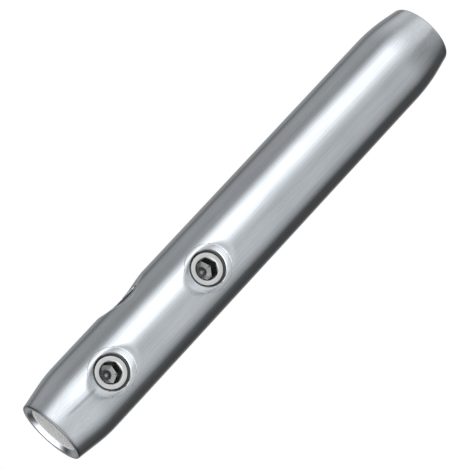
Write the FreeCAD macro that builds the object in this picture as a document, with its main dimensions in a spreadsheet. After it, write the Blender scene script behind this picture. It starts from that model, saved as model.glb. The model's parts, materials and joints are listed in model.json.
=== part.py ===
"""Screw-locked spigot coupler for scaffold legs: a swaged steel tube that joins two leg tubes end to end.

The plain half drops into one leg. The other half carries three grub screws, two in a line at the front and
one between them a quarter turn round, which wind outwards and jam against the inside of the other leg.
Each screw runs in a threaded bush set in the tube wall, and a circlip on its dog point keeps it captive.

Frame, in millimetres: +Z runs along the tube from the plain end (z = 0) to the screw end. The two front
screws face -Y and the side screw faces +X.
"""
import FreeCAD, Part
import math
import os
import Sketcher
from FreeCAD import Placement, Rotation, Vector

# name, value in mm (or degrees), what it is
SIZES = [
    ("overall_length", 237.0, "tube, end to end"),
    ("tube_outside", 35.0, "outside diameter, slides in legs of 36 to 37.2 mm bore"),
    ("tube_wall", 4.0, "wall of the drawn tube"),
    ("plain_end_drop", 3.1, "how much the radius falls along the plain end's taper"),
    ("plain_end_taper", 15.1, "plain end's taper, from the end to where it would meet the cylinder"),
    ("plain_shoulder", 80.0, "radius where the plain end's taper meets the cylinder"),
    ("plain_end_round", 1.4, "rounding of the plain end's outer edge"),
    ("screw_end_drop", 2.5, "how much the radius falls along the screw end's taper"),
    ("screw_end_taper", 15.4, "screw end's taper, from the end to where it would meet the cylinder"),
    ("screw_shoulder", 60.0, "radius where the screw end's taper meets the cylinder"),
    ("screw_end_round", 0.5, "rounding of the screw end's outer edge"),
    ("mouth_lip", 1.9, "wall left at the screw end's face, round the bore's bevelled mouth"),
    ("mouth_depth", 1.7, "bevel of that mouth, along the tube"),
    ("first_screw_offset", 31.5, "from the screw end to the first screw's axis"),
    ("screw_spacing", 29.5, "along the tube from each screw to the next"),
    ("countersink_mouth", 24.0, "countersink's diameter on the plane that touches the tube's crest"),
    ("countersink_angle", 130.0, "included angle, nearly a flat spotface"),
    ("thread_size", 16.0, "nominal diameter of the thread"),
    ("thread_play", 0.05, "radial play between screw and bush"),
    ("bush_wall", 2.0, "bush, from its thread to the hole in the tube that it is set in"),
    ("bush_recess", 0.2, "bush's outer face under the tube's outside, so that it can't rub in the leg"),
    ("bush_reach", 16.0, "from the tube's crest to the bush's inner face"),
    ("screw_setback", 3.6, "screw's outer face below the tube's crest, at rest"),
    ("screw_chamfer", 1.0, "chamfer round the screw's outer face"),
    ("thread_overlap", 0.4, "from the bush's inner face up to where the dog point ends, at rest"),
    ("thread_runout", 1.2, "cone between the thread and the dog point"),
    ("dog_step", 2.0, "how much the dog point's radius is under the thread's"),
    ("dog_nose", 2.6, "from the circlip to the end of the dog point"),
    ("dog_chamfer", 1.0, "chamfer at the dog point's end"),
    ("socket_flats", 8.0, "hexagon socket, across flats"),
    ("socket_depth", 8.0, "hexagon socket, from the screw's outer face"),
    ("socket_chamfer", 0.4, "chamfer at the socket's mouth, outside the hexagon's corners"),
    ("socket_chamfer_angle", 90.0, "included angle"),
    ("pilot_size", 4.0, "drilled centre in the socket's floor"),
    ("pilot_depth", 1.0, "drilled centre, from the socket's floor to the start of its point"),
    ("clip_travel", 5.0, "gap between the circlip and the bush at rest, which ends the outward travel"),
    ("clip_thickness", 1.0, "circlip"),
    ("clip_play", 0.05, "play on each side of the circlip in its groove, along the screw"),
    ("groove_depth", 0.3, "circlip's groove in the dog point"),
    ("clip_fit", 0.1, "radial play between the circlip and the bottom of its groove"),
    ("clip_width", 2.8, "circlip, from its inside to its outside, where they are one centre"),
    ("clip_eccentric", 0.35, "how far its outside is off centre, so that it is widest opposite the gap"),
    ("clip_gap", 3.0, "gap between the circlip's ends"),
    ("clip_ear", 1.7, "radius of the ears for the pliers"),
    ("clip_ear_hole", 1.4, "plier holes, diameter"),
]

# screws: name, steps of screw_spacing below the first one, turn about the tube from +X, hexagon's turn
FRONT = -90.0
SIDE = 0.0
SCREWS = [("upper", 0, FRONT, 18.0), ("side", 1, SIDE, 33.0), ("lower", 2, FRONT, 50.0)]

doc = FreeCAD.newDocument("SpigotCoupler")
sheet = doc.addObject("Spreadsheet::Sheet", "Sizes")
for row, (alias, value, note) in enumerate(SIZES, start=1):
    sheet.set(f"A{row}", alias.replace("_", " "))
    sheet.set(f"B{row}", str(value))
    sheet.set(f"C{row}", note)
    sheet.setAlias(f"B{row}", alias)
doc.recompute()

# lengths used in several places, as formulas over the sheet
TUBE_R = "Sizes.tube_outside / 2"
SCREW_R = "(Sizes.thread_size / 2 - Sizes.thread_play)"
BUSH_R = "(Sizes.thread_size / 2 + Sizes.bush_wall)"
DOG_R = "(Sizes.thread_size / 2 - Sizes.dog_step)"
GROOVE_R = f"({DOG_R} - Sizes.groove_depth)"
CLIP_R = f"({GROOVE_R} + Sizes.clip_fit)"
BUSH_FLOOR = "(Sizes.tube_outside / 2 - Sizes.bush_reach)"
SCREW_TOP = "(Sizes.tube_outside / 2 - Sizes.screw_setback)"
DOG_TOP = f"({BUSH_FLOOR} + Sizes.thread_overlap)"
CLIP_TOP = f"({BUSH_FLOOR} - Sizes.clip_travel)"
CLIP_FOOT = f"({CLIP_TOP} - Sizes.clip_thickness)"
SCREW_FOOT = f"({CLIP_FOOT} - Sizes.dog_nose)"


def value(formula):
    """The number a formula over the sheet gives now."""
    result = sheet.evalExpression(formula)
    return float(getattr(result, "Value", result))


def new_body(label, placement=None):
    """An empty body that stands at the given placement."""
    body = doc.addObject("PartDesign::Body", label)
    body.Label = label
    if placement is not None:
        body.Placement = placement
    return body


def sketch_on(body, plane, name, offset=None):
    """A sketch on one of the body's own origin planes, moved along the plane's normal by a formula."""
    sketch = body.newObject("Sketcher::SketchObject", name)
    origin = next(feature for feature in body.Origin.OriginFeatures if feature.Role == plane)
    sketch.AttachmentSupport = [(origin, "")]
    sketch.MapMode = "FlatFace"
    if offset is not None:
        sketch.setExpression("AttachmentOffset.Base.z", offset)
    return sketch


def bind(sketch, constraint, formula):
    """Adds a dimension to a sketch and ties it to the sheet."""
    index = sketch.addConstraint(constraint)
    sketch.setExpression(f"Constraints[{index}]", formula)


def draw_polygon(sketch, corners):
    """A closed outline whose corners are pairs of formulas. A coordinate of None lies on that axis."""
    points = [Vector(*(0.0 if part is None else value(part) for part in corner), 0.0) for corner in corners]
    first = sketch.GeometryCount
    for number, point in enumerate(points):
        sketch.addGeometry(Part.LineSegment(point, points[(number + 1) % len(points)]), False)
    for number, corner in enumerate(corners):
        line = first + number
        after = first + (number + 1) % len(corners)
        sketch.addConstraint(Sketcher.Constraint("Coincident", line, 2, after, 1))
        for part, kind, axis in ((corner[0], "DistanceX", -2), (corner[1], "DistanceY", -1)):
            if part is None:
                sketch.addConstraint(Sketcher.Constraint("PointOnObject", line, 1, axis))
            else:
                bind(sketch, Sketcher.Constraint(kind, -1, 1, line, 1, value(part)), part)


def draw_circle(sketch, radius, x=None, y=None):
    """A circle whose radius and centre are formulas. A centre coordinate of None lies on that axis."""
    centre = Vector(0.0 if x is None else value(x), 0.0 if y is None else value(y), 0.0)
    circle = sketch.addGeometry(Part.Circle(centre, Vector(0, 0, 1), value(radius)), False)
    bind(sketch, Sketcher.Constraint("Radius", circle, value(radius)), radius)
    for part, kind, axis in ((x, "DistanceX", -2), (y, "DistanceY", -1)):
        if part is None:
            sketch.addConstraint(Sketcher.Constraint("PointOnObject", circle, 3, axis))
        else:
            bind(sketch, Sketcher.Constraint(kind, -1, 1, circle, 3, value(part)), part)


def turn_about_upright(body, kind, sketch, name):
    """A revolution or groove of a sketch about the sketch's own upright axis."""
    feature = body.newObject(kind, name)
    feature.Profile = sketch
    feature.ReferenceAxis = (sketch, ["V_Axis"])
    feature.Angle = 360.0
    doc.recompute()
    return feature


def round_edge(body, feature, name, radius, height, size):
    """Rounds the circular edge of a feature that has this radius and height, given as formulas."""
    edges = [
        f"Edge{number}"
        for number, edge in enumerate(feature.Shape.Edges, start=1)
        if isinstance(edge.Curve, Part.Circle)
        and abs(edge.Curve.Radius - value(radius)) < 1e-4
        and abs(edge.Curve.Center.z - value(height)) < 1e-4
    ]
    fillet = body.newObject("PartDesign::Fillet", name)
    fillet.Base = (feature, edges)
    fillet.setExpression("Radius", size)
    doc.recompute()
    return fillet


COUNTERSINK = ("Sizes.countersink_mouth", "Sizes.countersink_angle")


def drill(body, sketch, name, diameter, depth=None, cut=COUNTERSINK):
    """A countersunk hole at each circle of a sketch, right through or to a depth from the sketch's plane."""
    mouth, angle = cut
    doc.recompute()
    hole = body.newObject("PartDesign::Hole", name)
    hole.Profile = sketch
    hole.Threaded = False
    hole.HoleCutType = "Countersink"
    hole.HoleCutCustomValues = True
    hole.DrillPoint = "Flat"
    hole.DepthType = "ThroughAll" if depth is None else "Dimension"
    hole.setExpression("Diameter", diameter)
    hole.setExpression("HoleCutDiameter", mouth)
    hole.setExpression("HoleCutCountersinkAngle", angle)
    if depth is not None:
        hole.setExpression("Depth", depth)
    doc.recompute()
    return hole


def screw_height(steps):
    """Formula for a screw's height on the tube."""
    return f"Sizes.overall_length - Sizes.first_screw_offset - {steps} * Sizes.screw_spacing"


def make_tube():
    """Swaged tube with a bevelled mouth at its screw end and a countersunk hole in its wall for each bush."""
    body = new_body("spigot_tube")
    wall = sketch_on(body, "XZ_Plane", "WallSection")
    plain_r = f"({TUBE_R} - Sizes.plain_end_drop)"
    screw_r = f"({TUBE_R} - Sizes.screw_end_drop)"
    bore = f"{TUBE_R} - Sizes.tube_wall"
    top = "Sizes.overall_length"
    screw_corner = f"{top} - Sizes.screw_end_taper"
    widening = "Sizes.mouth_depth * Sizes.screw_end_drop / Sizes.screw_end_taper"
    mouth_foot = f"{screw_r} - Sizes.tube_wall + {widening}"
    draw_polygon(
        wall,
        [
            (plain_r, None),
            (TUBE_R, "Sizes.plain_end_taper"),
            (TUBE_R, screw_corner),
            (screw_r, top),
            (f"{screw_r} - Sizes.mouth_lip", top),
            (mouth_foot, f"{top} - Sizes.mouth_depth"),
            (bore, screw_corner),
            (bore, "Sizes.plain_end_taper"),
            (f"{plain_r} - Sizes.tube_wall", None),
        ],
    )
    tube = turn_about_upright(body, "PartDesign::Revolution", wall, "Tube")
    tube = round_edge(body, tube, "PlainShoulder", TUBE_R, "Sizes.plain_end_taper", "Sizes.plain_shoulder")
    tube = round_edge(body, tube, "ScrewShoulder", TUBE_R, screw_corner, "Sizes.screw_shoulder")
    inner = "Sizes.plain_shoulder - Sizes.tube_wall"
    tube = round_edge(body, tube, "PlainShoulderInside", bore, "Sizes.plain_end_taper", inner)
    inner = "Sizes.screw_shoulder - Sizes.tube_wall"
    tube = round_edge(body, tube, "ScrewShoulderInside", bore, screw_corner, inner)
    tube = round_edge(body, tube, "PlainEndRound", plain_r, "0 * Sizes.tube_wall", "Sizes.plain_end_round")
    round_edge(body, tube, "ScrewEndRound", screw_r, top, "Sizes.screw_end_round")
    for facing, plane, name in ((FRONT, "XZ_Plane", "Front"), (SIDE, "YZ_Plane", "Side")):
        places = sketch_on(body, plane, f"{name}Places", TUBE_R)
        for _, steps, turn, _ in SCREWS:
            if turn == facing:
                draw_circle(places, BUSH_R, y=screw_height(steps))
        drill(body, places, f"{name}Holes", f"2 * {BUSH_R}", depth=TUBE_R)
    return body


def radial_placement(steps, turn, spin=0.0):
    """Local Z points out along the screw, local X along the tube, with the origin on the tube's axis."""
    outward = Vector(math.cos(math.radians(turn)), math.sin(math.radians(turn)), 0)
    along = Vector(0, 0, 1)
    facing = Rotation(along, outward.cross(along), outward, "ZXY")
    height = Vector(0, 0, value(screw_height(steps)))
    return Placement(height, facing * Rotation(Vector(0, 0, 1), spin))


def make_bush(label, placement):
    """Threaded bush: a round plug whose outer face is dressed to the tube's curve and countersunk."""
    body = new_body(label, placement)
    blank = sketch_on(body, "XY_Plane", "Blank", BUSH_FLOOR)
    draw_circle(blank, BUSH_R)
    plug = body.newObject("PartDesign::Pad", "Plug")
    plug.Profile = blank
    plug.setExpression("Length", "Sizes.bush_reach")
    doc.recompute()
    dress = sketch_on(body, "YZ_Plane", "Dress")
    draw_crown(dress)
    dressed = body.newObject("PartDesign::Pocket", "Dressed")
    dressed.Profile = dress
    dressed.Type = "ThroughAll"
    dressed.SideType = "Symmetric"
    doc.recompute()
    places = sketch_on(body, "XY_Plane", "ThreadPlace", TUBE_R)
    draw_circle(places, "Sizes.thread_size / 2")
    drill(body, places, "Thread", "Sizes.thread_size")
    return body


def draw_crown(sketch):
    """What lies above the bush's dressed outer face, over the width of the bush and a little more."""
    face = f"({TUBE_R} - Sizes.bush_recess)"
    half = f"{face} * sin(60)"
    low = f"{face} * cos(60)"
    top = f"{TUBE_R} + Sizes.tube_wall"
    radius, x, y, z = (value(formula) for formula in (face, half, low, top))
    outside = Part.Circle(Vector(), Vector(0, 0, 1), radius)
    sketch.addGeometry(Part.ArcOfCircle(outside, math.pi / 6, math.pi * 5 / 6))
    sketch.addGeometry(Part.LineSegment(Vector(-x, y, 0), Vector(-x, z, 0)), False)
    sketch.addGeometry(Part.LineSegment(Vector(-x, z, 0), Vector(x, z, 0)), False)
    sketch.addGeometry(Part.LineSegment(Vector(x, z, 0), Vector(x, y, 0)), False)
    arc, left, roof, right = range(4)
    for constraint in (
        ("Coincident", arc, 3, -1, 1),
        ("Coincident", arc, 2, left, 1),
        ("Coincident", left, 2, roof, 1),
        ("Coincident", roof, 2, right, 1),
        ("Coincident", right, 2, arc, 1),
        ("Vertical", left),
        ("Horizontal", roof),
        ("Vertical", right),
    ):
        sketch.addConstraint(Sketcher.Constraint(*constraint))
    bind(sketch, Sketcher.Constraint("Radius", arc, radius), face)
    bind(sketch, Sketcher.Constraint("DistanceX", -1, 1, right, 2, x), half)
    bind(sketch, Sketcher.Constraint("DistanceX", left, 1, -1, 1, x), half)
    bind(sketch, Sketcher.Constraint("DistanceY", -1, 1, roof, 1, z), top)


def make_screw(label, placement):
    """Grub screw: turned blank with a dog point and a circlip groove, and a hexagon socket."""
    body = new_body(label, placement)
    groove_top = f"{CLIP_TOP} + Sizes.clip_play"
    groove_foot = f"{CLIP_FOOT} - Sizes.clip_play"
    blank = sketch_on(body, "XZ_Plane", "Blank")
    draw_polygon(
        blank,
        [
            (None, SCREW_FOOT),
            (f"{DOG_R} - Sizes.dog_chamfer", SCREW_FOOT),
            (DOG_R, f"{SCREW_FOOT} + Sizes.dog_chamfer"),
            (DOG_R, groove_foot),
            (GROOVE_R, groove_foot),
            (GROOVE_R, groove_top),
            (DOG_R, groove_top),
            (DOG_R, DOG_TOP),
            (SCREW_R, f"{DOG_TOP} + Sizes.thread_runout"),
            (SCREW_R, f"{SCREW_TOP} - Sizes.screw_chamfer"),
            (f"{SCREW_R} - Sizes.screw_chamfer", SCREW_TOP),
            (None, SCREW_TOP),
        ],
    )
    turn_about_upright(body, "PartDesign::Revolution", blank, "Turned")
    hexagon = sketch_on(body, "XY_Plane", "Hexagon", SCREW_TOP)
    corner = "Sizes.socket_flats / sqrt(3)"
    draw_polygon(
        hexagon,
        [
            (f"{corner} * cos({angle})", f"{corner} * sin({angle})" if angle % 180 else None)
            for angle in range(0, 360, 60)
        ],
    )
    socket = body.newObject("PartDesign::Pocket", "Socket")
    socket.Profile = hexagon
    socket.setExpression("Length", "Sizes.socket_depth")
    doc.recompute()
    centre = sketch_on(body, "XY_Plane", "Centre", SCREW_TOP)
    draw_circle(centre, "Sizes.pilot_size / 2")
    pilot = drill(
        body,
        centre,
        "Pilot",
        "Sizes.pilot_size",
        depth="Sizes.socket_depth + Sizes.pilot_depth",
        cut=(f"2 * ({corner} + Sizes.socket_chamfer)", "Sizes.socket_chamfer_angle"),
    )
    pilot.DrillPoint = "Angled"
    doc.recompute()
    return body


def make_circlip(label, placement):
    """External circlip: an eccentric ring, cut through at the gap, with a drilled ear each side of it."""
    body = new_body(label, placement)
    ear_x = f"({CLIP_R} + Sizes.clip_ear)"
    ear_y = "(Sizes.clip_gap / 2 + Sizes.clip_ear)"
    rounds = [("Ring", f"{CLIP_R} + Sizes.clip_width", "-1 * Sizes.clip_eccentric", None)]
    for side, name in ((1, "LeftEar"), (-1, "RightEar")):
        rounds.append((name, "Sizes.clip_ear", ear_x, f"{side} * {ear_y}"))
    for name, radius, x, y in rounds:
        outline = sketch_on(body, "XY_Plane", name, CLIP_FOOT)
        draw_circle(outline, radius, x=x, y=y)
        pad = body.newObject("PartDesign::Pad", f"{name}Pad")
        pad.Profile = outline
        pad.setExpression("Length", "Sizes.clip_thickness")
        doc.recompute()
    inside = sketch_on(body, "XY_Plane", "InsideAndHoles", CLIP_TOP)
    draw_circle(inside, CLIP_R)
    for side in (1, -1):
        draw_circle(inside, "Sizes.clip_ear_hole / 2", x=ear_x, y=f"{side} * {ear_y}")
    gap = sketch_on(body, "XY_Plane", "Gap", CLIP_TOP)
    beyond = f"2 * ({CLIP_R} + Sizes.clip_width)"
    draw_polygon(
        gap,
        [
            (None, "-1 * Sizes.clip_gap / 2"),
            (beyond, "-1 * Sizes.clip_gap / 2"),
            (beyond, "Sizes.clip_gap / 2"),
            (None, "Sizes.clip_gap / 2"),
        ],
    )
    for outline, name in ((inside, "Stamped"), (gap, "Slit")):
        cut = body.newObject("PartDesign::Pocket", name)
        cut.Profile = outline
        cut.Type = "ThroughAll"
        doc.recompute()
    return body


def write_parts(bodies):
    """Checks every object of the document and every sub-part, then writes one STEP file each."""
    doc.recompute()
    failed = [item.Name for item in doc.Objects if {"Invalid", "Error"} & set(item.State)]
    if failed:
        raise RuntimeError(f"these objects failed: {failed}")
    for body in bodies:
        if body.Shape.isNull() or not body.Shape.isValid():
            raise RuntimeError(f"{body.Label} has no valid shape")
    os.makedirs("parts", exist_ok=True)
    for body in bodies:
        body.Shape.exportStep(f"parts/{body.Label}.step")
        print(f"{body.Label}: {len(body.Shape.Solids)} solid, {body.Shape.Volume:.1f} mm3")


parts = [make_tube()]
for name, steps, turn, spin in SCREWS:
    seat = radial_placement(steps, turn)
    parts.append(make_bush(f"{name}_bush", seat))
    parts.append(make_screw(f"{name}_screw", radial_placement(steps, turn, spin)))
    parts.append(make_circlip(f"{name}_circlip", seat))
write_parts(parts)
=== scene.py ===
"""Looks of a scaffold spigot coupler: a swaged steel tube with three grub screws in threaded bushes.

Frame, in metres: +Z runs along the tube from the plain end (z = 0) to the screw end. Two screws face -Y and
one, between them, faces +X. The tube, the bushes and the screws are new meshes that stand for their CAD
nodes; the circlips are the CAD nodes themselves with a better finish.
"""

import json
from math import atan2, ceil, cos, floor, pi, radians, sin, sqrt, tan, tau
from typing import NamedTuple

import bmesh
import bpy
import numpy as np
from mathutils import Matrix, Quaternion, Vector


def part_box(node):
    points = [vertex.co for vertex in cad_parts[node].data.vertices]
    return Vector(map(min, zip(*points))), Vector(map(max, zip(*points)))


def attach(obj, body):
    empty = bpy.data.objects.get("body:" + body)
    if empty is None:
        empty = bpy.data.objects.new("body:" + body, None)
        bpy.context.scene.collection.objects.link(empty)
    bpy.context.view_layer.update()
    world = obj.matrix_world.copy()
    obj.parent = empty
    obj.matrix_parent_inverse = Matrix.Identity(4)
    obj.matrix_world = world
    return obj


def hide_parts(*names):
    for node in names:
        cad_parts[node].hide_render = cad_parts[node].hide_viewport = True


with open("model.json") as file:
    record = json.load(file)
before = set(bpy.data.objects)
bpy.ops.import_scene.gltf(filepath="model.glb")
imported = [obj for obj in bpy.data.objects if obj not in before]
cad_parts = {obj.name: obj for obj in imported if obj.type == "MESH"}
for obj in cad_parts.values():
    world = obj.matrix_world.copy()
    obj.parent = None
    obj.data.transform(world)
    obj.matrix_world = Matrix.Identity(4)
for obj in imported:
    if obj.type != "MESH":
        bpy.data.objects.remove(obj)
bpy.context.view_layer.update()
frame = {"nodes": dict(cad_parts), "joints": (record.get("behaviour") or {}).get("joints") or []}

MM = 0.001
UP = np.array([0.0, 0.0, 1.0])
MERGE = 0.001 * MM  # points nearer than this are one point
MARGIN = 0.02 * MM  # a point within this of a surface lies on it
SHARP = radians(50)  # an edge that turns more than this stays sharp

# tube
TUBE_LOW, TUBE_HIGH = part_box("spigot_tube")
TUBE_R = TUBE_HIGH.x
TUBE_LENGTH = TUBE_HIGH.z - TUBE_LOW.z
WALL = 4 * MM
RIM_BREAK = 0.3 * MM  # the bore's edges at both ends are broken by this much
RIM_STEPS = 10  # points round a rim's arc
RIM_SHADE_SPREAD = 0.7 * MM  # how far the painted shade at the screw end's rim spreads
TUBE_COLUMNS = 128
FIRST_ROW, SWAGE_TOP = 2 * MM, 26 * MM  # rows are fine from the one height to the other, and then coarse
FINE_ROW, COARSE_ROW = 1 * MM, 4 * MM

# patches of the tube's grid round the screws, in the outer skin and in the bore
PATCH_HALF = 14.5 * MM  # how far a patch reaches along the tube, each way from its screw
SKIN_COLUMNS, BORE_COLUMNS = 16, 21  # columns that it takes, each side of the screw
SKIN_STEPS, BORE_STEPS = 32, 22  # steps between its rows
SKIN_RINGS, BORE_RINGS = 18, 8  # rings from the hole to its border

# countersinks, bushes and screws
HOLE_R = 10 * MM  # in the tube's wall, for the bush
MOUTH_R = 12 * MM  # countersink, on the plane that touches the tube's crest
SINK_SLOPE = tan(radians(25))  # its included angle is 130 degrees
CREASE = 1.1 * MM  # its edge is rounded over where cone and crown are less than this apart
EDGE = 0.1 * MM  # small edges are broken by this much
SEAM = 0.02 * MM  # hairline gap round a bush
FLUSH = 0.04 * MM  # the edges each side of that gap are broken by this much
BUSH_RECESS = 0.05 * MM  # step from the tube's curve down to the bush's face at its thread; 0.2 mm in the CAD
FACE_STEPS = 14  # rows across the bush's face
THREAD_R = 8 * MM
THREAD_PLAY = 0.05 * MM
PITCH = 2 * MM
PITCH_R = THREAD_R - 0.375 * sqrt(0.75) * PITCH
FLANK_PLAY = 0.06 * MM
BUSH_ROOT_R = THREAD_R - 0.625 * sqrt(0.75) * PITCH
SCREW_ROOT_R = THREAD_R - 1.227 * MM
DOG_R = 6 * MM
RUNOUT = 1.2 * MM  # the thread fades into the dog point over this height
THREAD_OVERLAP = 0.4 * MM  # that fade ends this far above the bush's inner face
SCREW_FACE_R = 6.72 * MM  # just under the thread's root, so that the chamfer leaves a clean circle
SOCKET_APOTHEM = 4 * MM
SOCKET_MOUTH_R = SOCKET_APOTHEM / cos(pi / 6) + 0.4 * MM
SOCKET_DEPTH = 8 * MM
PILOT_R = 2 * MM  # the drilled centre in the socket's floor
PILOT_DEPTH = 1 * MM
DRILL_POINT = radians(59)
GROOVE_R = 5.7 * MM
GROOVE_SPAN = (3.65 * MM, 2.55 * MM)  # groove's two sides, above the end of the dog point
DOG_CHAMFER = 1 * MM
ROUND_COLUMNS = 96
EDGE_WEAR = 0.3 * MM  # how far the wear of a small edge spreads
RECESS_SHADE_DEPTH = 0.5 * MM  # grime and painted shade are full from this depth down
FLOOR_SHADE_SHARE = 0.4  # a socket's floor takes this share of the walls' grime and painted shade
HEXAGON_TURN = {"upper": radians(18), "side": radians(33), "lower": radians(50)}


class End(NamedTuple):
    """One swaged end: its fall in radius and over what length, its radii at the shoulder and at the rim's
    outer edge, the width of its flat face, and the depth of the bevel inside that face."""

    drop: float
    taper: float
    shoulder: float
    rounding: float
    face: float
    bevel: float

    @property
    def slope(self):
        return atan2(self.drop, self.taper)


PLAIN_END = End(
    drop=3.1 * MM, taper=15.1 * MM, shoulder=80 * MM, rounding=1.4 * MM, face=WALL, bevel=0.0
)
SCREW_END = End(
    drop=2.5 * MM, taper=15.4 * MM, shoulder=60 * MM, rounding=0.5 * MM, face=1.9 * MM, bevel=1.7 * MM
)


class Station(NamedTuple):
    """One screw's place: its name, its height on the tube, and the directions out of it and across it."""

    name: str
    height: float
    outward: np.ndarray
    across: np.ndarray


def find_stations():
    """The screws' places, lowest first, read from the frame's sliding joints and bushes."""
    found = []
    for joint in frame["joints"]:
        if joint["type"] == "slide":
            name = joint["name"].split("_")[0]
            low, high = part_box(f"{name}_bush")
            outward = np.array(joint["axis"], float)
            found.append(Station(name, (low.z + high.z) / 2, outward, np.cross(outward, UP)))
    return sorted(found, key=lambda station: station.height)


STATIONS = find_stations()


def reach(node, outward):
    """How near and how far a CAD node lies from the tube's axis, along a screw's outward direction."""
    ends = [np.array(corner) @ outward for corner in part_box(node)]
    return min(ends), max(ends)


# ---------------------------------------------------------------- surfaces


def end_radius(depth, end, inset):
    """Radius at a depth from a swaged end: a cone, an arc tangent to it and to the cylinder, the cylinder.

    Cone: radius - (taper's length - depth) x slope. Arc: radius - shoulder + root of (shoulder squared -
    distance from its top squared).
    """
    radius, shoulder = TUBE_R - inset, end.shoulder - inset
    run = shoulder * tan(end.slope / 2)
    cone = radius - (end.taper - depth) * tan(end.slope)
    into = np.clip(end.taper + run - depth, 0, shoulder)
    arc = radius - shoulder + np.sqrt(shoulder**2 - into**2)
    return np.where(depth < end.taper - run * cos(end.slope), cone, arc)


def skin_radius(height, inset=0.0):
    """Radius of the tube's skin at a height, for a skin that lies a given inset under the outer one."""
    return np.minimum(
        end_radius(height, PLAIN_END, inset), end_radius(TUBE_LENGTH - height, SCREW_END, inset)
    )


def rim(end):
    """A rim's radius and depth from the bore to the outer skin: the bevel, the flat face, one arc."""
    outer = TUBE_R - end.drop
    run = end.rounding * tan((pi / 2 - end.slope) / 2)
    turn = np.linspace(1.5 * pi, tau - end.slope, RIM_STEPS)
    deepest = end.bevel + 2 * RIM_BREAK
    corners = [(outer - WALL + deepest * tan(end.slope), deepest)]
    if end.bevel:
        corners.append((outer - WALL + end.bevel * tan(end.slope), end.bevel))
    corners += [(outer - end.face, 0.0), (outer - run, 0.0)]
    inside = soften(np.array(corners), RIM_BREAK)[:-1]
    radius = np.concatenate([inside[:, 0], outer - run + end.rounding * np.cos(turn)])
    depth = np.concatenate([inside[:, 1], end.rounding * (1 + np.sin(turn))])
    return radius, depth


def soft_min(first, second, width):
    """The lower of two heights; where they differ by less than the width, a parabola rounds the crease."""
    share = np.clip(0.5 + 0.5 * (second - first) / width, 0, 1)
    return second * (1 - share) + first * share - width * share * (1 - share)


def countersink_height(along, across):
    """Height of the countersink over the tube's axis: crest - slope x (mouth's radius - distance out)."""
    return TUBE_R - SINK_SLOPE * (MOUTH_R - np.hypot(along, across))


def crown_height(along, across, station, inset):
    """Height of a skin over the tube's axis: the root of its radius squared less the offset squared."""
    return np.sqrt(skin_radius(station.height + along, inset) ** 2 - across**2)


def sunk_height(along, across, station, inset=0.0):
    """The skin round a screw: the lower of the tube's crown and the countersink, with a soft crease."""
    return soft_min(
        crown_height(along, across, station, inset), countersink_height(along, across), CREASE
    )


def spaced(start, stop, step):
    """Even heights from start to stop, both included, no further apart than the step."""
    return np.linspace(start, stop, ceil(abs(stop - start) / step - 1e-9) + 1)


def column_angles(count, start=0.0):
    """The angles of a number of even columns, once round."""
    return start + np.arange(count) * tau / count


def thread_rows(angles, low, high, radii, limit):
    """Rows of a right-hand thread, as radius and height for each angle.

    A row climbs one pitch a turn: height = pitch x (its place in the pitch + angle in turns), held between
    low and high, which may differ from angle to angle. The radius falls from the ridge at the 30 degree
    flank's slope: radius = pitch radius + root 3 x (quarter pitch - distance from the ridge). It is held
    between the thread's root and crest, and limit() then gives it the shape of the blank. Rows fall on the
    flanks' ends and halfway between them.
    """
    root, middle, crest = radii
    slope = sqrt(3) * PITCH
    near, far = 0.25 - (crest - middle) / slope, 0.25 + (middle - root) / slope
    places = np.interp(np.arange(0, 4, 0.5), np.arange(5), [near, far, 1 - far, 1 - near, 1 + near])
    start = angles[0] / tau
    first, last = floor(low / PITCH - start) - 2, ceil(np.max(high) / PITCH - start) + 1
    turns = (np.arange(first, last)[:, None] + places).reshape(-1, 1)
    heights = np.clip(PITCH * (turns + angles / tau), low, high)
    from_ridge = np.abs((heights / PITCH - angles / tau + 0.5) % 1 - 0.5)
    radius = np.clip(middle + slope * (0.25 - from_ridge), root, crest)
    return np.stack([limit(radius, heights), heights], axis=-1), len(places)


def rows_of(angles, pairs):
    """A stack of rows from (radius, height) pairs, where each is one number or one for each angle."""
    flat = np.zeros_like(angles)
    return np.array([np.stack([radius + flat, height + flat], axis=-1) for radius, height in pairs])


def soften(rows, size):
    """Breaks each edge between rows: the row becomes two, moved by the size towards its neighbours."""
    steps = np.diff(rows, axis=0)
    lengths = np.linalg.norm(steps, axis=-1, keepdims=True)
    moves = steps / np.maximum(lengths, 1e-9) * np.minimum(size, 0.4 * lengths)
    pairs = np.stack([rows[1:-1] - moves[:-1], rows[1:-1] + moves[1:]], axis=1)
    return np.concatenate([rows[:1], pairs.reshape(-1, *rows.shape[1:]), rows[-1:]])


# ---------------------------------------------------------------- meshes


def grid_faces(rows, columns, climb=0):
    """Quads of a grid whose last column meets its first one, that many rows further up."""
    index = np.arange(rows * columns).reshape(rows, columns)
    beside = np.roll(index, -1, axis=1)
    beside[:, -1] = index[np.minimum(np.arange(rows) + climb, rows - 1), 0]
    return np.stack([index[:-1], beside[:-1], beside[1:], index[1:]], axis=-1)


def turned_grid(radius, height, columns):
    """Points of a profile turned about Z: x = radius x cosine, y = radius x sine, z = height."""
    angles = column_angles(columns)
    turns = ((radius, np.cos(angles)), (radius, np.sin(angles)), (height, np.ones(columns)))
    return np.stack([np.outer(part, turn) for part, turn in turns], axis=-1)


def in_tube(along, across, outward, station):
    """Points of the row frame from distances along the tube, across it and out from its axis."""
    parts = ((along, UP), (across, station.across), (outward, station.outward))
    return station.height * UP + sum(np.asarray(part)[..., None] * axis for part, axis in parts)


def turned_points(rows, angles, station):
    """Points of rows of (radius, height) turned about a screw's axis, from the tube's +Z towards across."""
    radius, height = rows[..., 0], rows[..., 1]
    return in_tube(radius * np.cos(angles), radius * np.sin(angles), height, station)


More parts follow.
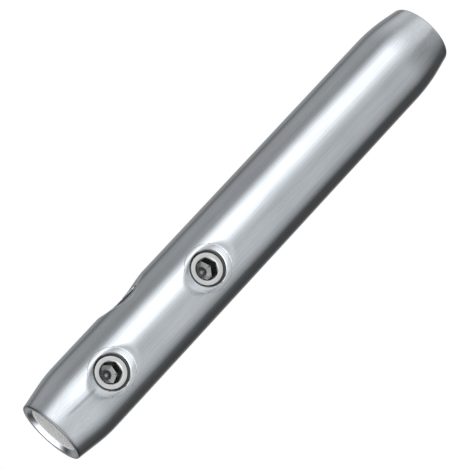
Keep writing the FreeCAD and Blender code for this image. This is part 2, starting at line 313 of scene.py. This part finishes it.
def new_piece(name, sheets, material, body, node):
    """One piece from sheets of (points, quads): they are merged where they meet, and face outwards."""
    points, quads, start = [], [], 0
    for sheet_points, sheet_quads in sheets:
        points.append(sheet_points.reshape(-1, 3))
        quads.append(sheet_quads.reshape(-1, 4) + start)
        start += len(points[-1])
    used, quads = np.unique(np.concatenate(quads), return_inverse=True)
    mesh = bpy.data.meshes.new(name)
    mesh.from_pydata(np.concatenate(points)[used].tolist(), [], quads.reshape(-1, 4).tolist())
    shape = bmesh.new()
    shape.from_mesh(mesh)
    bmesh.ops.remove_doubles(shape, verts=shape.verts, dist=MERGE)
    bmesh.ops.recalc_face_normals(shape, faces=shape.faces)
    shape.to_mesh(mesh)
    shape.free()
    mesh.shade_smooth()
    mesh.set_sharp_from_angle(angle=SHARP)
    mesh.materials.append(material)
    piece = bpy.data.objects.new(name, mesh)
    bpy.context.scene.collection.objects.link(piece)
    weighted = piece.modifiers.new("Weighted normals", "WEIGHTED_NORMAL")
    weighted.keep_sharp = True
    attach(piece, body)
    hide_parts(node)
    return piece


def read_points(piece):
    """A piece's vertices, one row each."""
    points = np.empty(len(piece.data.vertices) * 3)
    piece.data.vertices.foreach_get("co", points)
    return points.reshape(-1, 3)


def write_attribute(piece, name, kind, values):
    """Stores a number or a vector at each vertex, for the material to read."""
    attribute = piece.data.attributes.new(name, kind, "POINT")
    field = "value" if kind == "FLOAT" else "vector"
    attribute.data.foreach_set(field, np.ascontiguousarray(values, np.float32).ravel())


def loop_places(rows, half, centre):
    """Grid places round a patch: along its low side, up its far side, back along its high side and down."""
    offsets = np.arange(-half, half)
    steps = len(rows) - 1
    low_side, high_side = (np.repeat(row, 2 * half) for row in (rows[0], rows[-1]))
    row = np.concatenate([low_side, rows[:-1], high_side, rows[:0:-1]])
    column = np.concatenate([offsets, np.repeat(half, steps), -offsets, np.repeat(-half, steps)])
    return row, (column + centre) % TUBE_COLUMNS


def patch(loop, station, half, rings, height):
    """Rings that carry a circle round a screw out to a loop of the tube's grid, lying on height().

    Each point = (1 - share) x the circle's point + share x the loop's point, in the plane along and across.
    """
    start = -pi / 2 - half * tau / TUBE_COLUMNS
    turn = column_angles(TUBE_COLUMNS, start)
    circle = (HOLE_R + FLUSH) * np.stack([np.sin(turn), -np.cos(turn)], axis=-1)
    around = np.stack([loop[:, 2] - station.height, loop @ station.across], axis=-1)
    share = np.linspace(0, 1, rings + 1)[:, None, None]
    flat = (1 - share) * circle + share * around
    along, across = flat[..., 0], flat[..., 1]
    return in_tube(along, across, height(along, across), station)


def tube_rows(step_count, inset, top):
    """Heights and radii of a skin's rows, from the plain end to the top, with step_count steps in a patch."""
    heights = [
        spaced(FIRST_ROW, SWAGE_TOP, FINE_ROW),
        spaced(SWAGE_TOP, STATIONS[0].height - PATCH_HALF, COARSE_ROW),
    ]
    for station in STATIONS:
        ends = (station.height - PATCH_HALF, station.height + PATCH_HALF)
        heights.append(np.linspace(*ends, step_count + 1))
    heights.append(spaced(STATIONS[-1].height + PATCH_HALF, top, FINE_ROW))
    heights = np.unique(np.round(np.concatenate(heights), 7))
    return heights, skin_radius(heights, inset)


def make_tube(material):
    """Swaged tube: one profile turned about Z, with patches round the screws that carry the countersinks.

    The profile goes up the outer skin and down the bore. Where a screw goes through, the grid's faces make
    way for rings that run from a rectangle of the grid to the hole's circle, and the hole's wall joins the
    two skins.
    """
    plain_radius, plain_depth = rim(PLAIN_END)
    screw_radius, screw_depth = rim(SCREW_END)
    skin_heights, skin_radii = tube_rows(SKIN_STEPS, 0.0, TUBE_LENGTH - FINE_ROW)
    bore_heights, bore_radii = tube_rows(BORE_STEPS, WALL, TUBE_LENGTH - SCREW_END.bevel - FINE_ROW)
    radius = np.concatenate(
        [plain_radius, skin_radii, screw_radius[::-1], bore_radii[::-1], plain_radius[:1]]
    )
    height = np.concatenate(
        [plain_depth, skin_heights, TUBE_LENGTH - screw_depth[::-1], bore_heights[::-1], plain_depth[:1]]
    )
    grid = turned_grid(radius, height, TUBE_COLUMNS)
    faces = grid_faces(*grid.shape[:2])
    skin_start = len(plain_depth)
    bore_start = skin_start + len(skin_heights) + len(screw_depth)
    keep = np.ones(faces.shape[:2], bool)
    sheets = []
    for station in STATIONS:
        centre = round(atan2(station.outward[1], station.outward[0]) / tau * TUBE_COLUMNS)
        ends = [station.height - PATCH_HALF, station.height + PATCH_HALF]
        low, high = (int(np.argmin(abs(skin_heights - end))) for end in ends)
        skin_loop = skin_start + np.arange(low, high + 1)
        low, high = (int(np.argmin(abs(bore_heights[::-1] - end))) for end in ends)
        bore_loop = bore_start + np.arange(low, high - 1, -1)
        for rows, half in ((skin_loop, SKIN_COLUMNS), (bore_loop, BORE_COLUMNS)):
            columns = (centre + np.arange(-half, half)) % TUBE_COLUMNS
            keep[np.ix_(np.arange(rows.min(), rows.max()), columns)] = False

        def skin(along, across, station=station):
            return sunk_height(along, across, station)

        def bore(along, across, station=station):
            return crown_height(along, across, station, WALL)

        skin_border = grid[loop_places(skin_loop, SKIN_COLUMNS, centre)]
        bore_border = grid[loop_places(bore_loop, BORE_COLUMNS, centre)]
        outer = patch(skin_border, station, SKIN_COLUMNS, SKIN_RINGS, skin)
        inner = patch(bore_border, station, BORE_COLUMNS, BORE_RINGS, bore)
        sheets += [(outer, grid_faces(*outer.shape[:2])), (inner, grid_faces(*inner.shape[:2]))]
        wall_top = hole_ring(station, skin, -FLUSH)
        wall_foot = hole_ring(station, bore, FLUSH)
        lined_up = np.roll(inner[0], SKIN_COLUMNS - BORE_COLUMNS, axis=0)
        wall = np.stack([outer[0], wall_top, wall_foot, lined_up])
        sheets.append((wall, grid_faces(*wall.shape[:2])))
    sheets.append((grid, faces[keep]))
    mark_tube(new_piece("drawn_tube", sheets, material, "spigot", "spigot_tube"))


def mark_tube(tube):
    """Stores each vertex's painted rim shade at the screw end, and whether it lies in the unpolished bore."""
    points = read_points(tube)
    radius, height = np.hypot(points[:, 0], points[:, 1]), points[:, 2]
    inside = radius < skin_radius(height) - WALL + MARGIN
    # the dark band at the screw end's outer rim is painted shade
    from_rim = np.hypot(radius - (TUBE_R - SCREW_END.drop), TUBE_LENGTH - height)
    write_attribute(tube, "wear_and_rim_shade", "FLOAT", np.exp(-((from_rim / RIM_SHADE_SPREAD) ** 2)) * ~inside)
    write_attribute(tube, "unpolished", "FLOAT", inside)


def hole_ring(station, height, rise):
    """The circle where a skin meets the wall of a screw's hole, lifted by a rise."""
    turn = column_angles(TUBE_COLUMNS, -pi / 2 - SKIN_COLUMNS * tau / TUBE_COLUMNS)
    along, across = HOLE_R * np.sin(turn), -HOLE_R * np.cos(turn)
    return in_tube(along, across, height(along, across) + rise, station)


def make_bush(station, material):
    """Threaded bush: dressed and countersunk outer face, plain outside, inner face and thread.

    The thread's ends are cones at 45 degrees: radius = thread's radius - distance from the face.
    """
    angles = column_angles(ROUND_COLUMNS)
    floor_height, _ = reach(f"{station.name}_bush", station.outward)
    outer_r = HOLE_R - SEAM

    def face(radius):
        """The face's row at a radius; it sinks evenly under the tube's curve from the hole to the thread."""
        recess = BUSH_RECESS * (HOLE_R - radius) / (HOLE_R - THREAD_R)
        return radius, sunk_height(radius * np.cos(angles), radius * np.sin(angles), station, recess)

    _, thread_top = face(THREAD_R)

    def countersunk(radius, height):
        """The thread's radius, no less than the cones at its two ends."""
        entry = THREAD_R - (thread_top - height)
        exit_cone = THREAD_R - (height - floor_height)
        return np.maximum(radius, np.maximum(entry, exit_cone))

    outside = [(THREAD_R, floor_height), (outer_r, floor_height), face(outer_r)]
    body = soften(rows_of(angles, outside), EDGE)
    body[-1, :, 1] -= FLUSH
    steps = np.linspace(outer_r - FLUSH, THREAD_R, FACE_STEPS)
    dressed = rows_of(angles, [face(radius) for radius in steps])
    rows = np.concatenate([body, dressed])
    radii = (BUSH_ROOT_R, PITCH_R + FLANK_PLAY, THREAD_R)
    thread, climb = thread_rows(angles, floor_height, thread_top, radii, countersunk)
    sheets = [
        (turned_points(rows, angles, station), grid_faces(*rows.shape[:2])),
        (turned_points(thread, angles, station), grid_faces(*thread.shape[:2], climb)),
    ]
    name = f"{station.name}_threaded_bush"
    bush = new_piece(name, sheets, material, "spigot", f"{station.name}_bush")
    write_turning(bush, station, THREAD_R, thread_top.min(), THREAD_R + EDGE)


def make_screw(station, material):
    """Grub screw: hexagon socket with its drilled centre, chamfered face, thread, dog point and groove.

    Every row is a radius and a height turned about the screw's axis. Across the socket the radius is the
    hexagon's: apothem / cosine of the angle from the middle of the nearest flat.
    """
    turn = HEXAGON_TURN[station.name]
    angles = column_angles(ROUND_COLUMNS, turn)
    foot, face = reach(f"{station.name}_screw", station.outward)
    bush_floor, _ = reach(f"{station.name}_bush", station.outward)
    hexagon = SOCKET_APOTHEM / np.cos((angles - turn) % (pi / 3) - pi / 6)
    floor_height = face - SOCKET_DEPTH
    pilot_height = floor_height - PILOT_DEPTH
    dog_top = bush_floor + THREAD_OVERLAP
    crest = THREAD_R - THREAD_PLAY

    def blank(radius, height):
        """The thread's radius, no more than the chamfer at the face and the runout above the dog point."""
        chamfer = SCREW_FACE_R + face - height
        runout = DOG_R + (height - dog_top) * (crest - DOG_R) / RUNOUT
        return np.minimum(radius, np.minimum(chamfer, runout))

    head = [
        (0.0, pilot_height - PILOT_R / tan(DRILL_POINT)),
        (PILOT_R, pilot_height),
        (PILOT_R, floor_height),
        (hexagon, floor_height),
        (hexagon, face - SOCKET_MOUTH_R + hexagon),
        (SOCKET_MOUTH_R, face),
        (SCREW_FACE_R, face),
        (SCREW_FACE_R + EDGE, face - EDGE),
    ]
    groove_top, groove_foot = (foot + side for side in GROOVE_SPAN)
    tail = [
        (DOG_R, dog_top),
        (DOG_R, groove_top),
        (GROOVE_R, groove_top),
        (GROOVE_R, groove_foot),
        (DOG_R, groove_foot),
        (DOG_R, foot + DOG_CHAMFER),
        (DOG_R - DOG_CHAMFER, foot),
        (0.0, foot),
    ]
    radii = (SCREW_ROOT_R, PITCH_R - FLANK_PLAY, crest)
    thread, climb = thread_rows(angles, dog_top, face - EDGE, radii, blank)
    sheets = [(turned_points(thread, angles, station), grid_faces(*thread.shape[:2], climb))]
    for pairs in (head, tail):
        rows = soften(rows_of(angles, pairs), 0.8 * EDGE)
        sheets.append((turned_points(rows, angles, station), grid_faces(*rows.shape[:2])))
    name = f"{station.name}_grub_screw"
    screw = new_piece(name, sheets, material, f"{station.name}_turner", f"{station.name}_screw")
    write_turning(screw, station, SOCKET_MOUTH_R, face, SOCKET_MOUTH_R, floor_height)


def write_turning(piece, station, edge_r, edge_height, recess_r, floor_height=None):
    """Stores each vertex's radius and height on the lathe, how near it is to the edge that a key wears, and
    how deep it lies inside the recess's radius, for grime and painted shade. A socket's floor takes less of
    them than its walls."""
    points = read_points(piece)
    along, across = points[:, 2] - station.height, points @ station.across
    outward = points @ station.outward
    radius = np.hypot(along, across)
    write_attribute(piece, "turned", "FLOAT_VECTOR", np.stack([radius, outward, 0 * radius], axis=-1))
    away = np.hypot(radius - edge_r, outward - edge_height)
    write_attribute(piece, "wear_and_rim_shade", "FLOAT", np.exp(-away / EDGE_WEAR))
    sunk = np.clip((edge_height - outward) / RECESS_SHADE_DEPTH, 0, 1) * (radius < recess_r)
    if floor_height is not None:
        sunk[outward < floor_height + MARGIN] *= FLOOR_SHADE_SHARE
    write_attribute(piece, "grime_and_recess_shade", "FLOAT", sunk)


# ---------------------------------------------------------------- materials


def linear(colour):
    """An sRGB hex colour as the linear red, green, blue and alpha that shaders take."""
    parts = np.array([int(colour[place:place + 2], 16) for place in (0, 2, 4)]) / 255
    parts = np.where(parts <= 0.04045, parts / 12.92, ((parts + 0.055) / 1.055) ** 2.4)
    return (*parts.tolist(), 1.0)


def add_node(tree, kind, inputs=(), **settings):
    """Adds a shader node. Inputs go by socket name or number; each is a value or another node's output."""
    node = tree.nodes.new(f"ShaderNode{kind}")
    for setting, value in settings.items():
        setattr(node, setting, value)
    for socket, value in dict(inputs).items():
        if isinstance(value, bpy.types.NodeSocket):
            tree.links.new(value, node.inputs[socket])
        else:
            node.inputs[socket].default_value = value
    return node


def work_out(tree, operation, *values):
    """The output of a Math node on one, two or three values."""
    return add_node(tree, "Math", dict(enumerate(values)), operation=operation).outputs[0]


def ranged(tree, value, source, target, **settings):
    """The output of a node that carries one range of a value to another and holds it there."""
    sockets = ("Value", "From Min", "From Max", "To Min", "To Max")
    return add_node(tree, "MapRange", zip(sockets, (value, *source, *target)), **settings).outputs[0]


def mixed(tree, factor, first, second, kind="RGBA"):
    """The output of a node that mixes two colours or two numbers."""
    sockets = {"Factor": factor, "A": first, "B": second}
    return add_node(tree, "Mix", sockets, data_type=kind).outputs["Result"]


def noise(tree, place, size, detail):
    """The output of a noise whose grains are about that size."""
    return add_node(tree, "TexNoise", {"Vector": place, "Scale": 1 / size, "Detail": detail}).outputs["Fac"]


def profile(tree, value, stops):
    """A smooth staircase through stops of (value, height): the sum of a smoothstep from each to the next."""
    total = stops[0][1]
    for (start, low), (end, high) in zip(stops, stops[1:]):
        rise = ranged(tree, value, (start, end), (0.0, high - low), interpolation_type="SMOOTHSTEP")
        total = work_out(tree, "ADD", total, rise)
    return total


def new_material(name):
    """An empty material with its Principled shader, which is returned with the tree."""
    material = bpy.data.materials.new(name)
    material.use_nodes = True
    tree = material.node_tree
    tree.nodes.clear()
    shader = add_node(tree, "BsdfPrincipled")
    add_node(tree, "OutputMaterial", {"Surface": shader.outputs["BSDF"]})
    return material, tree, shader


def finish_metal(tree, shader, colour, roughness, relief, strength, depth):
    """Joins a metal's colour, roughness and relief to its shader."""
    tree.links.new(colour, shader.inputs["Base Color"])
    tree.links.new(roughness, shader.inputs["Roughness"])
    bump = add_node(tree, "Bump", {"Height": relief, "Strength": strength, "Distance": depth})
    tree.links.new(bump.outputs["Normal"], shader.inputs["Normal"])


# painted reflection: a thin dark line on the front beside the last screw, standing for a dark stripe in the
# reflection
REFLECTION_LINE_FOOT, REFLECTION_LINE_TOP = (212 * MM, 216 * MM), (228 * MM, 233 * MM)  # heights over which it comes and goes
REFLECTION_LINE_LEAN = 0.06  # it leans this much across the tube for its length
REFLECTION_LINE_HALF = (0.15 * MM, 0.9 * MM)  # half widths where it starts to fade and where it ends
REFLECTION_LINE_DARKNESS = 0.4


def painted_reflection_line(tree, place):
    """How dark the painted reflection line is: a thin dark stripe, a little askew, beside the last screw.

    It lies on the side that faces -Y, where x = lean x (height - its foot).
    """
    x, y, height = add_node(tree, "SeparateXYZ", {0: place}).outputs
    askew = work_out(tree, "MULTIPLY_ADD", height, -REFLECTION_LINE_LEAN, REFLECTION_LINE_LEAN * REFLECTION_LINE_FOOT[0])
    away = work_out(tree, "ABSOLUTE", work_out(tree, "ADD", x, askew))
    line = profile(tree, away, list(zip(REFLECTION_LINE_HALF, (REFLECTION_LINE_DARKNESS, 0.0))))
    span = profile(tree, height, list(zip(REFLECTION_LINE_FOOT + REFLECTION_LINE_TOP, (0.0, 1.0, 1.0, 0.0))))
    front = work_out(tree, "LESS_THAN", y, 0.0)
    return work_out(tree, "MULTIPLY", work_out(tree, "MULTIPLY", line, span), front)


def drawn_zinc_steel():
    """Bright zinc plate over cold-drawn steel tube, polished along its length.

    Drawing through a die leaves fine lines along the tube, and the plate keeps them: the highlight breaks
    into long streaks. The plate has faint clouds a few centimetres across. A dark grey band is painted round
    the screw end's outer rim as shade, and a thin dark line on the front beside the last screw as a painted
    reflection. The bore was never polished, and a dull white bloom of zinc oxide lies over it.
    """
    material, tree, shader = new_material("bright_zinc_on_drawn_steel")
    place = add_node(tree, "TexCoord").outputs["Object"]
    # drawn out forty times along the tube: drawing lines, wider than the real ones, and bands of die wear
    stretched = add_node(tree, "Mapping", {"Vector": place, "Scale": (1, 1, 1 / 40)}).outputs["Vector"]
    lines = noise(tree, stretched, 0.5 * MM, 2.0)
    bands = noise(tree, stretched, 4 * MM, 1.0)
    clouds = noise(tree, place, 25 * MM, 3.0)
    grit = noise(tree, place, 0.25 * MM, 2.0)
    wear_and_rim_shade = add_node(tree, "Attribute", attribute_name="wear_and_rim_shade").outputs["Fac"]
    tone = ranged(tree, work_out(tree, "ADD", lines, clouds), (0.75, 1.25), (0.0, 1.0))
    plated = mixed(tree, tone, linear("D6DCE1"), linear("E4EAF0"))
    # painted shade and painted reflection: the rim band and the thin front line go towards grey 77787B
    painted_shade = work_out(tree, "MAXIMUM", painted_reflection_line(tree, place), wear_and_rim_shade)
    shaded_plate = mixed(tree, painted_shade, plated, linear("77787B"))
    unpolished = add_node(tree, "Attribute", attribute_name="unpolished").outputs["Fac"]
    colour = mixed(tree, unpolished, shaded_plate, linear("F4F4F3"))
    gloss = ranged(tree, bands, (0.3, 0.7), (0.2, 0.28))
    roughness = mixed(tree, unpolished, gloss, 0.6, kind="FLOAT")
    metal = ranged(tree, unpolished, (0.0, 1.0), (1.0, 0.1))
    tree.links.new(metal, shader.inputs["Metallic"])
    finish_metal(tree, shader, colour, roughness, work_out(tree, "ADD", lines, grit), 0.08, 0.02 * MM)
    return material


def turned_zinc_steel(name, light, dark, deep, rough):
    """Clear zinc plate over steel turned on a lathe.

    The tool leaves fine rings, so that flat faces shine like a record and cylinders show hoops. The plate is
    thinner in the thread and the socket, where oil and dust gather too. Both are darkened with depth, which
    is grime and painted shade, the socket's walls more than its floor. The plate is burnished at the edges
    that a key or a thumb touches.
    """
    material, tree, shader = new_material(name)
    lathe = add_node(tree, "Attribute", attribute_name="turned").outputs["Vector"]
    place = add_node(tree, "TexCoord").outputs["Object"]
    # tool rings, 0.15 mm apart; a real feed is 0.08 mm, which is too fine to show
    rings = noise(tree, lathe, 0.15 * MM, 2.0)
    clouds = noise(tree, place, 3 * MM, 3.0)
    wear_and_rim_shade = add_node(tree, "Attribute", attribute_name="wear_and_rim_shade").outputs["Fac"]
    grime_and_recess_shade = add_node(tree, "Attribute", attribute_name="grime_and_recess_shade").outputs["Fac"]
    tone = ranged(tree, work_out(tree, "ADD", rings, clouds), (0.7, 1.3), (0.0, 1.0))
    plated = mixed(tree, tone, linear(dark), linear(light))
    burnished = mixed(tree, wear_and_rim_shade, plated, linear("ECECEA"))
    # grime and painted shade: the thread and the socket go towards the third colour with depth
    colour = mixed(tree, grime_and_recess_shade, burnished, linear(deep))
    gloss = ranged(tree, clouds, (0.3, 0.7), (rough, rough + 0.1))
    roughness = work_out(tree, "MULTIPLY_ADD", grime_and_recess_shade, 0.2, gloss)
    shader.inputs["Metallic"].default_value = 1.0
    finish_metal(tree, shader, colour, roughness, rings, 0.2, 0.02 * MM)
    return material


def phosphated_spring_steel():
    """Blanked spring steel, phosphated and oiled: near black with a dull sheen.

    Its crystals are drawn ten times as large as the real ones, and the oil has dried in patches.
    """
    material, tree, shader = new_material("phosphated_spring_steel")
    place = add_node(tree, "TexCoord").outputs["Object"]
    crystals = noise(tree, place, 0.2 * MM, 2.0)
    patches = noise(tree, place, 2 * MM, 3.0)
    colour = mixed(tree, patches, linear("3B3B3D"), linear("66656A"))
    roughness = ranged(tree, crystals, (0.0, 1.0), (0.35, 0.6))
    shader.inputs["Metallic"].default_value = 1.0
    finish_metal(tree, shader, colour, roughness, crystals, 0.2, 0.01 * MM)
    return material


# ---------------------------------------------------------------- studio

CAMERA_PLACE = Vector((0.09276, -1.06022, 0.47981))
CAMERA_AIM = Vector((-0.00042, 0.00143, 0.1226))
CAMERA_ROLL = radians(-137.17)
CAMERA_LENS = 208.5  # millimetres, on a sensor 36 across
CAMERA_SHIFT = (-0.0007, 0.0002)
SWEEP_FLOOR, SWEEP_CURVE, SWEEP_TOP = 2.0, 0.8, 3.0  # flat radius, radius of the curve, height of the wall
SWEEP_COLUMNS, SWEEP_STEPS = 64, 12


def make_camera():
    """A long lens that looks a little down at the tube's front, turned so that the tube lies aslant."""
    camera = bpy.data.objects.new("camera", bpy.data.cameras.new("camera"))
    bpy.context.scene.collection.objects.link(camera)
    camera.data.lens = CAMERA_LENS
    camera.data.sensor_width = 36.0
    camera.data.shift_x, camera.data.shift_y = CAMERA_SHIFT
    camera.data.clip_end = 20.0
    camera.location = CAMERA_PLACE
    level = (CAMERA_AIM - CAMERA_PLACE).to_track_quat("-Z", "Y")
    camera.rotation_mode = "QUATERNION"
    camera.rotation_quaternion = level @ Quaternion((0, 0, 1), CAMERA_ROLL)
    bpy.context.scene.camera = camera


def make_sweep():
    """Pale studio floor that curves up into a wall all round: flat, arc and upright turned about Z.

    It is lit from within, like a light table, and lets the lamps' light through, so the object stands on
    plain white and its metal mirrors the lamps alone.
    """
    bend = np.linspace(0, pi / 2, SWEEP_STEPS)
    radius = np.concatenate([[0.0], SWEEP_FLOOR + SWEEP_CURVE * np.sin(bend), [SWEEP_FLOOR + SWEEP_CURVE]])
    height = np.concatenate([[0.0], SWEEP_CURVE * (1 - np.cos(bend)), [SWEEP_TOP]])
    points = turned_grid(radius, height, SWEEP_COLUMNS)
    faces = grid_faces(*points.shape[:2])
    mesh = bpy.data.meshes.new("studio_sweep")
    mesh.from_pydata(points.reshape(-1, 3).tolist(), [], faces.reshape(-1, 4).tolist())
    mesh.shade_smooth()
    paper = bpy.data.materials.new("white_studio_paper")
    paper.use_nodes = True
    tree = paper.node_tree
    tree.nodes.clear()
    glow = add_node(tree, "Emission", {"Color": linear("FFFFFF"), "Strength": 1.0})
    add_node(tree, "OutputMaterial", {"Surface": glow.outputs["Emission"]})
    mesh.materials.append(paper)
    sweep = bpy.data.objects.new("studio_sweep", mesh)
    bpy.context.scene.collection.objects.link(sweep)
    for rays in ("diffuse", "glossy", "transmission", "volume_scatter", "shadow"):
        setattr(sweep, f"visible_{rays}", False)


class Panel(NamedTuple):
    """A tall soft light: its bearing, half width and soft edge in degrees, as seen from the object, and its
    strengths at the elevations in PANEL_ELEVATIONS."""

    bearing: float
    half: float
    edge: float
    strengths: tuple


# bearings are degrees round the tube from the camera, positive to the right of the tube's near side
PANEL_ELEVATIONS = (-62, -42, -19, 0, 18, 36, 60)
PANELS = [
    Panel(-27, 8, 32, (0.3, 0.25, 1.3, 1.2, 0.0, 0.0, 0.0)),
    Panel(-52, 62, 16, (0.5, 0.4, 0.2, 0.25, 0.0, 0.0, 0.0)),
    Panel(-104, 8, 24, (0.16, 0.16, 0.08, 0.08, 0.0, 0.0, 0.0)),
    Panel(48, 36, 22, (0.4, 0.13, 0.33, 0.38, 0.0, 0.0, 0.0)),
    Panel(48, 12, 30, (0.2, 0.08, 0.2, 0.3, 0.0, 0.0, 0.0)),
    Panel(-170, 26, 20, (0.28, 0.28, 0.28, 0.28, 0.3, 0.1, 0.0)),
    Panel(0, 50, 60, (0.0, 0.0, 0.0, 0.0, 0.5, 1.3, 1.3)),
]
AMBIENT = 0.06
OVERHEAD = [(0.72, 0.0), (0.95, 1.6)]  # the sine of the elevation, and the strength there


def make_light():
    """A light tent round the object: each panel is a band of bearings, its strength set by elevation."""
    world = bpy.data.worlds.new("studio")
    bpy.context.scene.world = world
    world.use_nodes = True
    tree = world.node_tree
    tree.nodes.clear()
    direction = add_node(tree, "TexCoord").outputs["Generated"]
    to_camera = Vector((CAMERA_PLACE.x, CAMERA_PLACE.y, 0)).normalized()
    to_right = Vector((to_camera.y, -to_camera.x, 0))
    ahead, aside = (
        add_node(tree, "VectorMath", {0: direction, 1: axis}, operation="DOT_PRODUCT").outputs["Value"]
        for axis in (to_camera, to_right)
    )
    bearing = work_out(tree, "ARCTAN2", aside, ahead)
    height = add_node(tree, "SeparateXYZ", {0: direction}).outputs["Z"]
    total = work_out(tree, "ADD", profile(tree, height, OVERHEAD), AMBIENT)
    for panel in PANELS:
        centre = radians(panel.bearing)
        wrapped = work_out(tree, "WRAP", bearing, centre + pi, centre - pi)
        away = work_out(tree, "ABSOLUTE", work_out(tree, "SUBTRACT", wrapped, centre))
        sides = [(radians(panel.half), 1.0), (radians(panel.half + panel.edge), 0.0)]
        levels = [(sin(radians(angle)), part) for angle, part in zip(PANEL_ELEVATIONS, panel.strengths)]
        band = profile(tree, away, sides)
        total = work_out(tree, "MULTIPLY_ADD", band, profile(tree, height, levels), total)
    glow = add_node(tree, "Background", {"Color": linear("FFFFFF"), "Strength": total})
    add_node(tree, "OutputWorld", {"Surface": glow.outputs["Background"]})


make_camera()
make_sweep()
make_light()
bpy.context.scene.view_settings.view_transform = "Standard"

tube_steel = drawn_zinc_steel()
# each third colour is the grime and painted shade of the thread and the socket
bush_steel = turned_zinc_steel("bright_zinc_on_turned_steel", "E4EAF0", "D2D8DE", "48494B", 0.2)
screw_steel = turned_zinc_steel("clear_zinc_on_turned_screw_steel", "F0F1F2", "E0E2E4", "343436", 0.24)
clip_steel = phosphated_spring_steel()

make_tube(tube_steel)
for station in STATIONS:
    make_bush(station, bush_steel)
    make_screw(station, screw_steel)
    clip = frame["nodes"][f"{station.name}_circlip"]
    clip.data.materials.clear()
    clip.data.materials.append(clip_steel)
